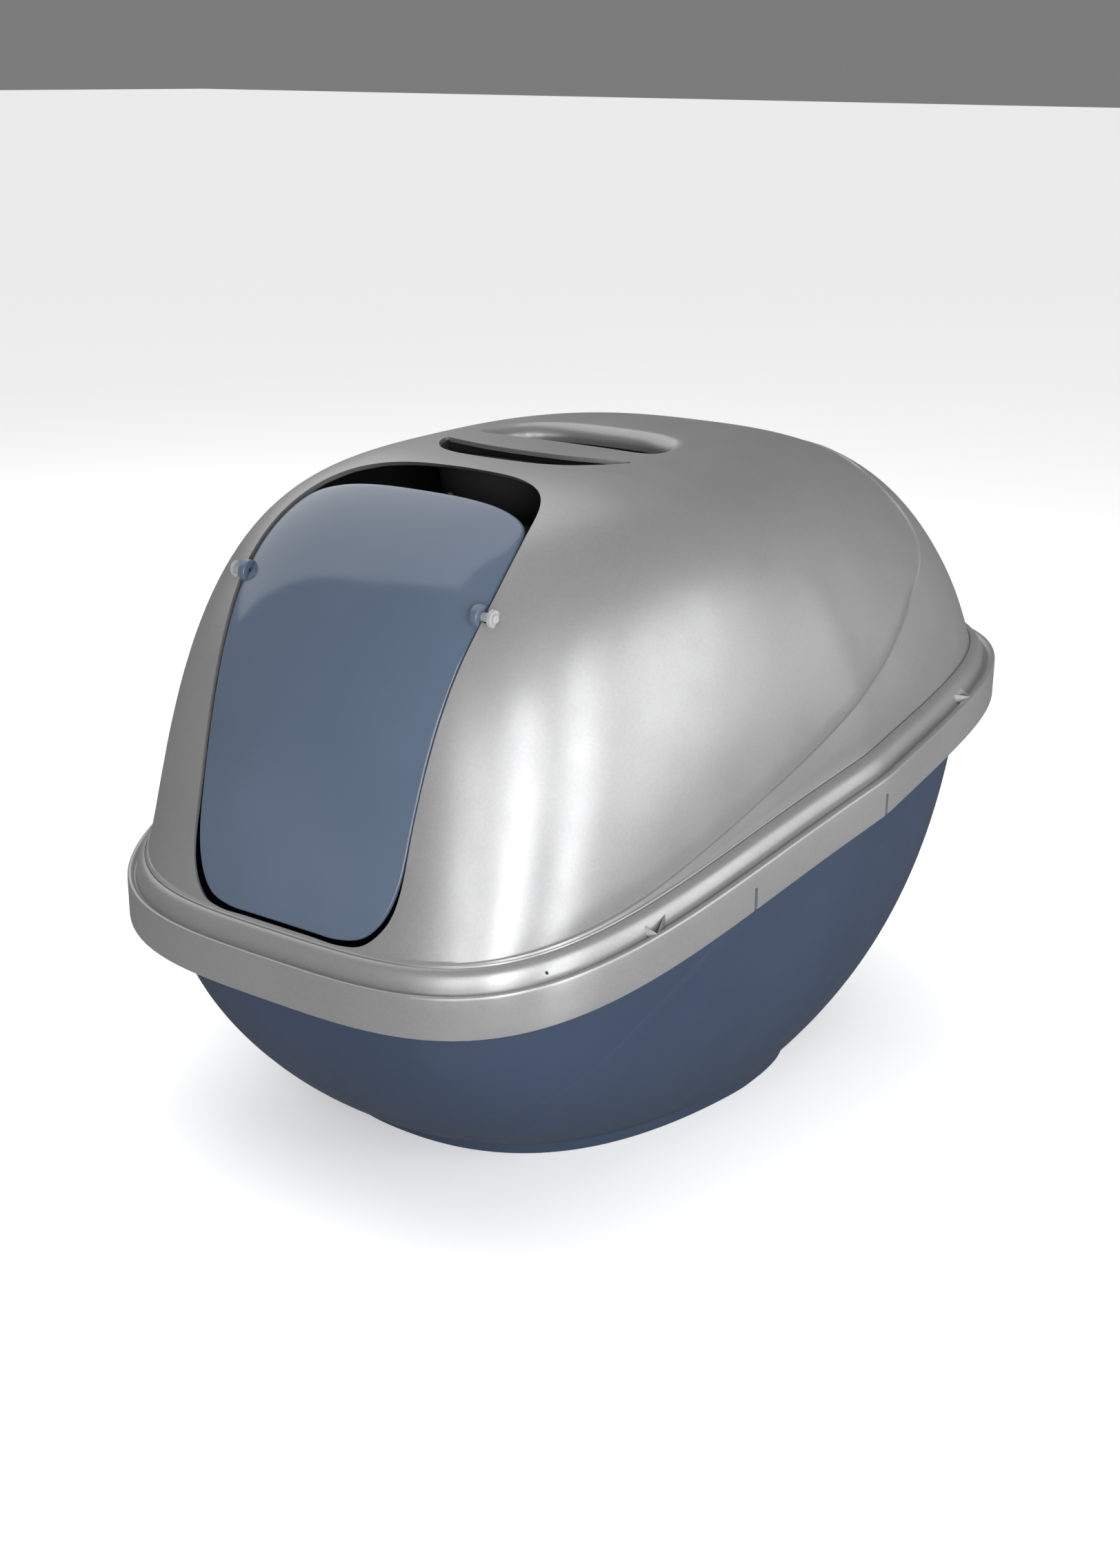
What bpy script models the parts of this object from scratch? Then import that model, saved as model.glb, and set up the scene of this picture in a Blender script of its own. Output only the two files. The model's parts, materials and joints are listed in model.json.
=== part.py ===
"""Cat litter box with a lift-off hood: a deep pan, a domed hood, a two-way flap and a carbon filter.

Metres, +Z up. The origin is on the ground under the middle of the box, and the doorway faces -Y.
"""
import bpy
import bmesh
from collections import namedtuple
from math import cos, pi, sin
from mathutils import Matrix, Vector

for old in list(bpy.data.objects):
    bpy.data.objects.remove(old)

# Driving dimensions ---------------------------------------------------------------------------
BOX_HALF_WIDTH = 0.198       # outside of the hood's skirt
BOX_HALF_LENGTH = 0.265
HOOD_TOP = 0.3815            # ground to the top of the hood
SEAM_HEIGHT = 0.1735         # lower edge of the skirt, midway along the box
SEAM_SLOPE = 0.174           # the seam climbs towards the back
WAIST = 0.0525               # where the plan is widest, behind the middle
PINCH = 0.0690               # how far the sides draw in towards the front, as a share of the width

WALL = 0.0025                # moulded wall, pan and hood
FIT_GAP = 0.0003             # between pieces that rest on each other
RUNNING_GAP = 0.0010         # between pieces that slide past each other

SKIRT_HEIGHT = 0.0235
GROOVE_LIFT = 0.0215
BEAD_LIFT = 0.0310
DOME_LIFT = 0.0340           # where the dome starts, above the seam
LEDGE_LIFT = 0.0185          # underside of the hood's ledge, which sits on the pan's rim
DOME_SIDE_INSET = 0.0162     # from the skirt in to the foot of the dome
DOME_FRONT_INSET = 0.0100
DOME_BACK_INSET = 0.0089

FOOT_HEIGHT = 0.008
FOOT_HALF_WIDTH = 0.134
FOOT_FRONT = 0.1565
FOOT_BACK = 0.117
FOOT_SETBACK = 0.002         # draft of the plinth
PAN_RIM_INSET = 0.0130       # from the skirt in to the top of the pan's wall
RIM_LIP_LIFT = 0.004         # lower edge of the pan's turned-down rim
RIM_LIP = 0.0020

DOOR_HALF_WIDTH = 0.082
DOOR_SILL = 0.0030           # above the foot of the dome
DOOR_LENGTH = 0.2680         # along the slope, sill to top
FLAP_GAP = 0.0022
FLAP_SILL_GAP = 0.0030
FLAP_LENGTH = 0.2360         # along the slope, from the flap's lower edge
FLAP_RECESS = 0.0012         # from the hood's surface in to the flap
FLAP_THICKNESS = 0.0022

PIVOT_LEVEL = 0.74           # share of the dome's height
PIVOT_SETBACK = 0.082        # behind the front of the skirt
PIN_RADIUS = 0.0025
PIN_HEAD_RADIUS = 0.0048
PIN_HEAD = 0.0022
BORE_CLEARANCE = 0.0005
LUG_RADIUS = 0.0065
LUG_LENGTH = 0.0045
LUG_GAP = 0.0006

BOWL_HALF_WIDTH = 0.064      # finger bowl under the carrying handle
BOWL_FRONT = 0.068
BOWL_BACK = 0.058
BOWL_DEPTH = 0.034
BOWL_TAPER = 0.012
HANDLE_FRONT = -0.040
HANDLE_BACK = -0.003
HANDLE_THICKNESS = 0.010
VENT_COUNT = 5
VENT_WIDTH = 0.005
VENT_LENGTH = 0.050
VENT_PITCH = 0.015

FILTER_DEPTH = 0.016         # filter holder, outside
FILTER_INSET = 0.003         # from the bowl's floor in to the holder
FILTER_WALL = 0.002
CLIP_OFFSET = 0.030          # clips stand this far left and right of the middle
CLIP_WIDTH = 0.012
CLIP_HEIGHT = 0.012
CLIP_THICKNESS = 0.002
PAD_DROP = 0.004             # the pad's top lies this far below the holder's

TAB_HALF_LENGTH = 0.061      # flexible tab in the skirt, on each side
TAB_CENTRE = -0.017
SLIT_WIDTH = 0.0016
SLIT_HEIGHT = 0.013
SLIT_REACH = 0.016           # the skirt narrows towards the front, so the slits are cut from this far in

TOOL_REACH = 0.010           # how far a cutting solid goes past the surface it cuts
SKIN_DEPTH = 0.0002          # the handle's top lies this far below the dome's surface

SEGMENTS = 60                # points around the plan
ROUND = 24                   # points around pins and lugs

# Plan outlines --------------------------------------------------------------------------------
# front and back are distances from the origin; nose and tail are the roundness of each end, 2 for
# an ellipse and more for a squarer corner; pinch draws the sides in between waist and nose.
Outline = namedtuple("Outline", "width front back waist nose tail pinch")


def blend(start, end, share):
    return Outline(*(a + (b - a) * share for a, b in zip(start, end)))


def inset(outline, distance):
    return outline._replace(
        width=outline.width - distance, front=outline.front - distance, back=outline.back - distance
    )


def ring(outline, height):
    """One closed loop of points around the plan; height gives z from a point's y."""
    points = []
    for index in range(SEGMENTS):
        angle = 2 * pi * index / SEGMENTS
        across = abs(sin(angle)) / outline.width
        if cos(angle) > 0:
            along = cos(angle) / (outline.front + outline.waist)
            power = outline.nose
        else:
            along = -cos(angle) / (outline.back - outline.waist)
            power = outline.tail
        reach = (across**power + along**power) ** (-1 / power)
        y = outline.waist - reach * cos(angle)
        forward = max(0, outline.waist - y) / (outline.front + outline.waist)
        narrowing = 1 - 4 * outline.pinch * forward * (1 - forward)
        points.append(Vector((reach * sin(angle) * narrowing, y, height(y))))
    return points


def above_seam(lift):
    return lambda y: SEAM_HEIGHT + SEAM_SLOPE * y + lift


def level(height):
    return lambda y: height


# Meshes ---------------------------------------------------------------------------------------
def material(name, colour, roughness, alpha=1.0):
    made = bpy.data.materials.new(name)
    made.use_nodes = True
    shader = made.node_tree.nodes["Principled BSDF"]
    shader.inputs["Base Color"].default_value = (*colour, 1)
    shader.inputs["Roughness"].default_value = roughness
    shader.inputs["Metallic"].default_value = 0.0
    shader.inputs["Alpha"].default_value = alpha
    made.diffuse_color = (*colour, alpha)
    return made


def add_object(name, bm, finish=None):
    if bm.calc_volume(signed=True) < 0:
        bmesh.ops.reverse_faces(bm, faces=bm.faces)
    mesh = bpy.data.meshes.new(name)
    bm.to_mesh(mesh)
    bm.free()
    made = bpy.data.objects.new(name, mesh)
    bpy.context.collection.objects.link(made)
    if finish:
        mesh.materials.append(finish)
        mesh.shade_smooth()
        mesh.set_sharp_from_angle(angle=0.6)
    else:
        made.hide_render = True
        made.display_type = "WIRE"
    return made


def loft(name, rings, finish=None):
    """A closed solid through the rings, with a flat cap on the first and the last."""
    bm = bmesh.new()
    loops = [[bm.verts.new(point) for point in points] for points in rings]
    for lower, upper in zip(loops, loops[1:]):
        for index, corner in enumerate(lower):
            bm.faces.new((lower[index - 1], corner, upper[index], upper[index - 1]))
    bm.faces.new(loops[0][::-1])
    bm.faces.new(loops[-1])
    return add_object(name, bm, finish)


def prism(name, points, direction, finish=None):
    """An outline extruded along a direction."""
    bm = bmesh.new()
    face = bm.faces.new([bm.verts.new(point) for point in points])
    grown = bmesh.ops.extrude_face_region(bm, geom=[face])
    moved = [item for item in grown["geom"] if isinstance(item, bmesh.types.BMVert)]
    bmesh.ops.translate(bm, verts=moved, vec=direction)
    bmesh.ops.recalc_face_normals(bm, faces=bm.faces)
    return add_object(name, bm, finish)


def block(name, low, high, finish=None):
    bm = bmesh.new()
    bmesh.ops.create_cube(bm, size=1.0)
    size = Vector(high) - Vector(low)
    bmesh.ops.scale(bm, vec=size, verts=bm.verts)
    bmesh.ops.translate(bm, vec=(Vector(low) + Vector(high)) / 2, verts=bm.verts)
    return add_object(name, bm, finish)


def rod(name, start_x, end_x, centre, radius, finish=None):
    """A cylinder along X between two x values."""
    bm = bmesh.new()
    middle = Matrix.Translation(((start_x + end_x) / 2, centre.y, centre.z))
    bmesh.ops.create_cone(
        bm, cap_ends=True, segments=ROUND, radius1=radius, radius2=radius, depth=abs(end_x - start_x),
        matrix=middle @ Matrix.Rotation(pi / 2, 4, "Y"),
    )
    return add_object(name, bm, finish)


def combine(target, operation, *others):
    """Boolean each of the other objects into the target, which keeps only its evaluated mesh."""
    for other in others:
        modifier = target.modifiers.new(other.name, "BOOLEAN")
        modifier.operation = operation
        modifier.solver = "EXACT"
        modifier.object = other
        bpy.context.view_layer.update()
        result = bpy.data.meshes.new_from_object(target.evaluated_get(bpy.context.evaluated_depsgraph_get()))
        target.modifiers.clear()
        old = target.data
        target.data = result
        bpy.data.meshes.remove(old)
        bpy.data.objects.remove(other)
    return target


SILVER = material("silver_polypropylene", (0.42, 0.42, 0.43), 0.38)
SLATE = material("slate_polypropylene", (0.055, 0.075, 0.115), 0.42)
SMOKE = material("smoke_clear_plastic", (0.12, 0.16, 0.21), 0.12, 0.7)
CLEAR = material("clear_plastic", (0.75, 0.77, 0.80), 0.12, 0.6)
CARBON = material("carbon_foam", (0.02, 0.02, 0.02), 0.95)

SKIRT = Outline(BOX_HALF_WIDTH, BOX_HALF_LENGTH, BOX_HALF_LENGTH, WAIST, 3.3, 4.7, PINCH)
DOME_FOOT = Outline(
    BOX_HALF_WIDTH - DOME_SIDE_INSET, BOX_HALF_LENGTH - DOME_FRONT_INSET, BOX_HALF_LENGTH - DOME_BACK_INSET,
    WAIST, 3.5, 4.6, PINCH,
)

# Dome surface ---------------------------------------------------------------------------------
# Each pair of powers shapes the dome's profile on one side: the first says how high the wall stays
# upright, the second how flat the top is.
SIDE_PROFILE = (1.91, 4.24)
FRONT_PROFILE = (0.73, 4.34)
BACK_PROFILE = (5.91, 3.94)
CROWN_WAIST = 0.0006
CROWN_ROUNDNESS = 2.68
DOME_LEVELS = (0, 0.07, 0.16, 0.27, 0.39, 0.51, 0.63, 0.74, 0.83, 0.90, 0.95, 0.98, 0.995)


def taper(profile, share):
    return (1 - share ** profile[0]) ** (1 / profile[1])


def dome_ring(share, depth):
    """The dome's plan at a share of its height, depth below its outer surface."""
    foot = inset(DOME_FOOT, depth)
    waist = WAIST + (CROWN_WAIST - WAIST) * share
    outline = Outline(
        foot.width * taper(SIDE_PROFILE, share),
        (foot.front + WAIST) * taper(FRONT_PROFILE, share) - waist,
        (foot.back - WAIST) * taper(BACK_PROFILE, share) + waist,
        waist,
        foot.nose + (CROWN_ROUNDNESS - foot.nose) * share,
        foot.tail + (CROWN_ROUNDNESS - foot.tail) * share,
        foot.pinch * (1 - share),
    )
    base = SEAM_HEIGHT + DOME_LIFT
    rise = (HOOD_TOP - depth - base) * share
    return ring(outline, lambda y: base + rise + SEAM_SLOPE * y * (1 - share))


def dome_rings(depth):
    return [dome_ring(share, depth) for share in DOME_LEVELS]


def dome_shell(name, outer, inner):
    """A closed cup between two depths below the dome's surface."""
    return loft(name, dome_rings(inner)[::-1] + dome_rings(outer))


def dome_side(share, y):
    """The half width of the dome where one of its levels crosses y."""
    points = dome_ring(share, 0)
    near = [p for p in points if p.x > 0 and p.y < WAIST]
    near.sort(key=lambda p: p.y)
    for a, b in zip(near, near[1:]):
        if a.y <= y <= b.y:
            return a.lerp(b, (y - a.y) / (b.y - a.y))
    return near[0]


# Pan: a deep tub on a plinth, with its rim turned outwards and down -----------------------------
FOOT = Outline(FOOT_HALF_WIDTH, FOOT_FRONT, FOOT_BACK, 0.0115, 2.25, 3.0, 0.041)
PAN_TOP = inset(SKIRT, PAN_RIM_INSET)._replace(nose=2.95, tail=4.1)
PAN_LEVELS = (0, 0.05, 0.14, 0.28, 0.45, 0.64, 0.82, 1.0)


def belly(share, upper, lower):
    return (1 - (1 - share) ** upper) ** (1 / lower)


def pan_ring(share, depth):
    foot = inset(FOOT, depth)
    top = inset(PAN_TOP, depth)
    even = blend(foot, top, share)
    outline = even._replace(
        width=foot.width + (top.width - foot.width) * belly(share, 3.1, 1.0),
        front=foot.front + (top.front - foot.front) * belly(share, 1.84, 1.33),
        back=foot.back + (top.back - foot.back) * belly(share, 1.74, 1.53),
    )
    low = FOOT_HEIGHT + depth
    brim = SEAM_HEIGHT + LEDGE_LIFT - FIT_GAP - WALL + depth
    return ring(outline, lambda y: low + (brim + SEAM_SLOPE * y - low) * share)


def make_tray():
    lip_outer = inset(SKIRT, WALL + RUNNING_GAP)
    lip_inner = inset(lip_outer, RIM_LIP)
    rim_top = LEDGE_LIFT - FIT_GAP
    outside = [ring(inset(FOOT, FOOT_SETBACK), level(0))]
    outside += [pan_ring(share, 0) for share in PAN_LEVELS]
    rim = [
        ring(lip_inner, above_seam(rim_top - WALL)),
        ring(lip_inner, above_seam(RIM_LIP_LIFT)),
        ring(lip_outer, above_seam(RIM_LIP_LIFT)),
        ring(lip_outer, above_seam(rim_top)),
    ]
    inside = [pan_ring(share, WALL) for share in reversed(PAN_LEVELS)]
    inside.append(ring(inset(FOOT, FOOT_SETBACK + WALL), level(WALL)))
    return loft("tray", outside + rim + inside, SLATE)


# Hood: dome, bead, groove and skirt in one moulding, with the doorway and handle cut into it ----
# Outside of the rim, from the skirt's lower edge to the dome: share of the way in, and lift.
RIM_PROFILE = (
    (0, 0), (0, SKIRT_HEIGHT - 0.0015), (0.15, SKIRT_HEIGHT), (0.35, GROOVE_LIFT),
    (0.42, GROOVE_LIFT + 0.004), (0.60, BEAD_LIFT), (0.92, DOME_LIFT - 0.0005),
)


def rim_ring(share, lift):
    return ring(blend(SKIRT, DOME_FOOT, share), above_seam(lift))


def make_hood_shell():
    outside = [rim_ring(share, lift) for share, lift in RIM_PROFILE]
    inner_foot = inset(DOME_FOOT, WALL)
    inside = [
        ring(inner_foot, above_seam(LEDGE_LIFT)),
        ring(inset(SKIRT, WALL), above_seam(LEDGE_LIFT)),
        ring(inset(SKIRT, WALL), above_seam(0)),
    ]
    return loft("hood", dome_rings(WALL)[::-1] + inside + outside + dome_rings(0), SILVER)


# The doorway lies in a sloping plane from the sill to just in front of the handle. Its outline is
# given for the right half, as shares of the half width and of the length along the slope.
DOOR_SHAPE = (
    (0.50, 0.0), (0.68, 0.014), (0.81, 0.060), (0.87, 0.125), (0.89, 0.25), (0.915, 0.37), (0.95, 0.50),
    (0.99, 0.62), (1.0, 0.71), (0.965, 0.81), (0.87, 0.905), (0.70, 0.962), (0.42, 0.992), (0.0, 1.0),
)
SILL = Vector((0, -DOME_FOOT.front, SEAM_HEIGHT - SEAM_SLOPE * DOME_FOOT.front + DOME_LIFT + DOOR_SILL))
DOOR_UP = Vector((0, 0.592, 0.806)).normalized()
DOOR_OUT = Vector((0, -DOOR_UP.z, DOOR_UP.y))
DOOR_REACH = 0.12


def smooth_outline(points, steps):
    """Points along a smooth open curve through the given ones."""
    result = []
    ends = [points[0]] + list(points) + [points[-1]]
    for before, start, end, after in zip(ends, ends[1:], ends[2:], ends[3:]):
        for step in range(steps):
            t = step / steps
            result.append(tuple(
                0.5 * (2 * b + (c - a) * t + (2 * a - 5 * b + 4 * c - d) * t * t + (3 * b - a - 3 * c + d) * t**3)
                for a, b, c, d in zip(before, start, end, after)
            ))
    return result + [points[-1]]


def door_prism(name, gap, sill_gap, length):
    """The doorway's outline, smaller by the gap all round and cut off at a length, as a solid."""
    half = []
    for across, along in smooth_outline(DOOR_SHAPE, 2):
        up = sill_gap + along * (DOOR_LENGTH - sill_gap)
        half.append((across * DOOR_HALF_WIDTH - gap, up))
    outline = half[:-1] + [(0, half[-1][1])] + [(-x, up) for x, up in reversed(half[:-1])]
    start = SILL - DOOR_OUT * DOOR_REACH
    points = [start + Vector((x, 0, 0)) + DOOR_UP * up for x, up in outline]
    solid = prism(name, points, DOOR_OUT * 2 * DOOR_REACH)
    if length < DOOR_LENGTH:
        bm = bmesh.new()
        bm.from_mesh(solid.data)
        cut = bmesh.ops.bisect_plane(
            bm, geom=bm.verts[:] + bm.edges[:] + bm.faces[:],
            plane_co=SILL + DOOR_UP * (sill_gap + length), plane_no=DOOR_UP, clear_outer=True,
        )
        edges = [item for item in cut["geom_cut"] if isinstance(item, bmesh.types.BMEdge)]
        bmesh.ops.contextual_create(bm, geom=edges)
        bmesh.ops.recalc_face_normals(bm, faces=bm.faces)
        bm.to_mesh(solid.data)
        bm.free()
    return solid


# Flap pins: one on each side of the doorway, on the flap's turning axis -------------------------
PIVOT = dome_side(PIVOT_LEVEL, PIVOT_SETBACK - BOX_HALF_LENGTH)
PIVOT_AXIS = Vector((0, PIVOT.y, PIVOT.z))
LUG_START = DOOR_HALF_WIDTH - FLAP_GAP / 2 + LUG_GAP / 2
BORE_RADIUS = PIN_RADIUS + BORE_CLEARANCE


def make_pin(name, side):
    inner = side * (LUG_START - LUG_GAP - LUG_LENGTH)
    outer = side * (LUG_START + LUG_LENGTH + FIT_GAP)
    pin = rod(name, inner, outer + side * PIN_HEAD / 2, PIVOT_AXIS, PIN_RADIUS, CLEAR)
    head = rod(name + "_head", outer, outer + side * PIN_HEAD, PIVOT_AXIS, PIN_HEAD_RADIUS)
    return combine(pin, "UNION", head)


def lug(name, side, start):
    return rod(name, side * start, side * (start + LUG_LENGTH), PIVOT_AXIS, LUG_RADIUS)


def head_seat(side):
    start = LUG_START + LUG_LENGTH
    return rod("head_seat", side * start, side * BOX_HALF_WIDTH, PIVOT_AXIS, PIN_HEAD_RADIUS + RUNNING_GAP)


def bore(name, radius):
    reach = BOX_HALF_WIDTH
    return rod(name, -reach, reach, PIVOT_AXIS, radius)


# Handle bowl -----------------------------------------------------------------------------------
BOWL = Outline(BOWL_HALF_WIDTH, BOWL_FRONT, BOWL_BACK, 0.0, 2.3, 2.3, 0.0)
BOWL_FLOOR = HOOD_TOP - BOWL_DEPTH
KNEE_INSET = 0.35            # the bowl's wall turns upright here: share of its taper, and of its height
KNEE_HEIGHT = 0.30


def bowl_solid(name, depth, floor, top):
    wide = inset(BOWL, depth)
    narrow = inset(wide, BOWL_TAPER)
    middle = inset(wide, BOWL_TAPER * KNEE_INSET)
    knee = floor + (top - floor) * KNEE_HEIGHT
    return loft(name, [ring(narrow, level(floor)), ring(middle, level(knee)), ring(wide, level(top))])


def make_hood():
    hood = make_hood_shell()
    combine(hood, "DIFFERENCE", door_prism("doorway", 0, 0, DOOR_LENGTH))
    combine(hood, "UNION", bowl_solid("bowl_outside", 0, BOWL_FLOOR - WALL, HOOD_TOP - WALL * 1.2))
    combine(hood, "DIFFERENCE", bowl_solid("bowl_inside", WALL, BOWL_FLOOR, HOOD_TOP + TOOL_REACH))
    handle = dome_shell("handle_skin", SKIN_DEPTH, HANDLE_THICKNESS)
    reach = BOWL_HALF_WIDTH - WALL / 2
    low = (-reach, HANDLE_FRONT, BOWL_FLOOR)
    keep = block("handle_keep", low, (reach, HANDLE_BACK, HOOD_TOP + TOOL_REACH))
    combine(handle, "INTERSECT", keep)
    combine(hood, "UNION", handle)
    for index in range(VENT_COUNT):
        x = (index - (VENT_COUNT - 1) / 2) * VENT_PITCH
        low = (x - VENT_WIDTH / 2, -VENT_LENGTH / 2, BOWL_FLOOR - TOOL_REACH)
        high = (x + VENT_WIDTH / 2, VENT_LENGTH / 2, BOWL_FLOOR + WALL)
        combine(hood, "DIFFERENCE", block("vent", low, high))
    for side in (-1, 1):
        combine(hood, "UNION", lug("hood_lug", side, LUG_START))
        combine(hood, "DIFFERENCE", head_seat(side))
        for end in (-1, 1):
            y = TAB_CENTRE + end * TAB_HALF_LENGTH
            base = SEAM_HEIGHT + SEAM_SLOPE * y
            near, far = sorted((side * (BOX_HALF_WIDTH - SLIT_REACH), side * (BOX_HALF_WIDTH + WALL)))
            low = (near, y - SLIT_WIDTH / 2, base - TOOL_REACH)
            high = (far, y + SLIT_WIDTH / 2, base + SLIT_HEIGHT)
            combine(hood, "DIFFERENCE", block("slit", low, high))
    return combine(hood, "DIFFERENCE", bore("hood_bore", BORE_RADIUS))


def make_flap():
    flap = dome_shell("flap", FLAP_RECESS, FLAP_RECESS + FLAP_THICKNESS)
    combine(flap, "INTERSECT", door_prism("flap_edge", FLAP_GAP, FLAP_SILL_GAP, FLAP_LENGTH))
    for side in (-1, 1):
        combine(flap, "UNION", lug("flap_lug", side, LUG_START - LUG_GAP - LUG_LENGTH))
    combine(flap, "DIFFERENCE", bore("flap_bore", PIN_RADIUS + FIT_GAP))
    flap.data.materials.clear()
    flap.data.materials.append(SMOKE)
    flap.data.transform(Matrix.Translation(-PIVOT_AXIS))
    flap.location = PIVOT_AXIS
    flap.hide_render = False
    flap.display_type = "TEXTURED"
    return flap


# Carbon filter: a slotted holder clipped under the bowl, with a foam pad in it -------------------
HOLDER = inset(BOWL, BOWL_TAPER + FILTER_INSET)
HOLDER_TOP = BOWL_FLOOR - WALL - FIT_GAP
HOLDER_FLOOR = HOLDER_TOP - FILTER_DEPTH


def end_of(outline, x, end):
    """How far the outline reaches from the middle at x, towards the front (-1) or the back (1)."""
    extent, power = (outline.front, outline.nose) if end < 0 else (outline.back, outline.tail)
    return extent * (1 - (abs(x) / outline.width) ** power) ** (1 / power)


def add_clip(holder, x, end):
    """An L-shaped arm: a foot on the holder's brim and an upright beside the bowl's wall."""
    bowl_near = end_of(BOWL, abs(x) - CLIP_WIDTH / 2, end) - BOWL_TAPER * KNEE_INSET
    near = bowl_near + FIT_GAP
    far = near + CLIP_THICKNESS
    root = end_of(HOLDER, abs(x) + CLIP_WIDTH / 2, end) - FILTER_WALL
    left, right = x - CLIP_WIDTH / 2, x + CLIP_WIDTH / 2
    base = HOLDER_TOP - CLIP_THICKNESS * 1.5
    for name, low_y, top in (("clip_foot", root, HOLDER_TOP), ("clip_arm", near, HOLDER_TOP + CLIP_HEIGHT)):
        y_low, y_high = sorted((end * low_y, end * far))
        combine(holder, "UNION", block(name, (left, y_low, base), (right, y_high, top)))


def make_filter_holder():
    inner = inset(HOLDER, FILTER_WALL)
    holder = loft("filter_holder", [
        ring(HOLDER, level(HOLDER_FLOOR)),
        ring(HOLDER, level(HOLDER_TOP)),
        ring(inner, level(HOLDER_TOP)),
        ring(inner, level(HOLDER_FLOOR + FILTER_WALL)),
    ], SILVER)
    for index in range(VENT_COUNT):
        x = (index - (VENT_COUNT - 1) / 2) * VENT_PITCH
        low = (x - VENT_WIDTH / 2, -VENT_LENGTH / 2, HOLDER_FLOOR - FILTER_WALL)
        high = (x + VENT_WIDTH / 2, VENT_LENGTH / 2, HOLDER_FLOOR + FILTER_WALL * 2)
        combine(holder, "DIFFERENCE", block("slot", low, high))
    for x in (-CLIP_OFFSET, CLIP_OFFSET):
        for end in (-1, 1):
            add_clip(holder, x, end)
    return holder


def make_filter_pad():
    pad = inset(HOLDER, FILTER_WALL + FIT_GAP)
    return loft("filter_pad", [
        ring(pad, level(HOLDER_FLOOR + FILTER_WALL + FIT_GAP)),
        ring(pad, level(HOLDER_TOP - PAD_DROP)),
    ], CARBON)


make_tray()
make_hood()
make_flap()
make_pin("flap_pin_left", -1)
make_pin("flap_pin_right", 1)
make_filter_holder()
make_filter_pad()
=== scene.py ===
"""A hooded cat litter box: slate pan, silver hood with a carrying handle, tinted flap and carbon filter.

Metres, +Z up, the doorway faces -Y. Every piece is placed by the part's own frame.
"""
import json
from collections import namedtuple
from math import cos, degrees, hypot, pi, radians, sin

import bmesh
import bpy
from mathutils import Matrix, Vector


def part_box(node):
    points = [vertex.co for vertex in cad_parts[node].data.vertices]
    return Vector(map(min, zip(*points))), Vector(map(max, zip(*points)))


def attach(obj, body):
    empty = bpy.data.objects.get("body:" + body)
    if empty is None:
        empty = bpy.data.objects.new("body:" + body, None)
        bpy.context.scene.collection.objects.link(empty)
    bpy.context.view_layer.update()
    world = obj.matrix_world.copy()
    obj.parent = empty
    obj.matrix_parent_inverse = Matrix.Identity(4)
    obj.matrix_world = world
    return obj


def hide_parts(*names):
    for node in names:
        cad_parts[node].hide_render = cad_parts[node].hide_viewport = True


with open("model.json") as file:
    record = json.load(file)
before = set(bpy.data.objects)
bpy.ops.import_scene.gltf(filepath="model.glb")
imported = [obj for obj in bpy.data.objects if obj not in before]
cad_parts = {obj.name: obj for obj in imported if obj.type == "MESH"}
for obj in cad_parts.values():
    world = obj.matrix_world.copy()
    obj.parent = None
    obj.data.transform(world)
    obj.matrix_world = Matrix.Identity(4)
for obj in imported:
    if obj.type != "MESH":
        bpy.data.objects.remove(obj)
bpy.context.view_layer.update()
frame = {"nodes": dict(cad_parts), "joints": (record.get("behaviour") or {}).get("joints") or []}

# Pan --------------------------------------------------------------------------------------------
# The real pan is one deep injection moulding in slate-blue polypropylene, on a low plinth. Its
# rim turns outwards and down, and a faint crease sweeps from its front to its sides.
MM = 0.001
WALL = 2.5 * MM
RIM_GAP = 1.0 * MM           # between the pan's rim and the hood's skirt
SEGMENTS = 256               # points around the plan
MERGE = 0.01 * MM            # points closer than this are one
SHARP = 35                   # degrees: edges sharper than this show as edges

hood_low, hood_high = (Vector(corner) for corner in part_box("hood"))
HALF_WIDTH = hood_high.x
HALF_LENGTH = hood_high.y
CROWN_RISE = 0.8 * MM        # the smooth crown stands this far above the CAD's flats
HOOD_TOP = hood_high.z + CROWN_RISE
SEAM_SLOPE = 0.174           # the seam climbs towards the back
SEAM_HEIGHT = hood_low.z + SEAM_SLOPE * HALF_LENGTH
WIDEST = 52.5 * MM           # the plan is widest this far behind the middle
PINCH = 0.069                # how far the sides draw in towards the front
WAIST_ROUND = 0.045          # how gently they start to, as a share of the way

# front and back are distances from the origin; nose and tail are the roundness of each end, 2 for
# an ellipse and more for a squarer corner; pinch draws the sides in between waist and nose.
Plan = namedtuple("Plan", "width front back waist nose tail pinch")


def blend(start, end, share):
    """The plan a share of the way from one plan to another."""
    return Plan(*(a + (b - a) * share for a, b in zip(start, end)))


def inset(plan, distance):
    """The plan drawn in by a distance on every side."""
    return plan._replace(
        width=plan.width - distance, front=plan.front - distance, back=plan.back - distance
    )


def ease(value):
    """0 below 0, 1 above 1, and smooth in between."""
    value = min(1, max(0, value))
    return value * value * (3 - 2 * value)


def drawn_in(forward):
    """How far the sides are drawn in, at a share of the way from the waist to the nose."""
    return 4 * (hypot(forward, WAIST_ROUND) - WAIST_ROUND) * (1 - forward)


def on_plan(plan, angle):
    """The point of a plan at an angle, turning from the front (-Y) towards the right side."""
    across = abs(sin(angle)) / plan.width
    if cos(angle) > 0:
        along, power = cos(angle) / (plan.front + plan.waist), plan.nose
    else:
        along, power = -cos(angle) / (plan.back - plan.waist), plan.tail
    reach = (across**power + along**power) ** (-1 / power)
    y = plan.waist - reach * cos(angle)
    forward = max(0, plan.waist - y) / (plan.front + plan.waist)
    return reach * sin(angle) * (1 - plan.pinch * drawn_in(forward)), y


ANGLES = [2 * pi * (index + 0.5) / SEGMENTS for index in range(SEGMENTS)]


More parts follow.
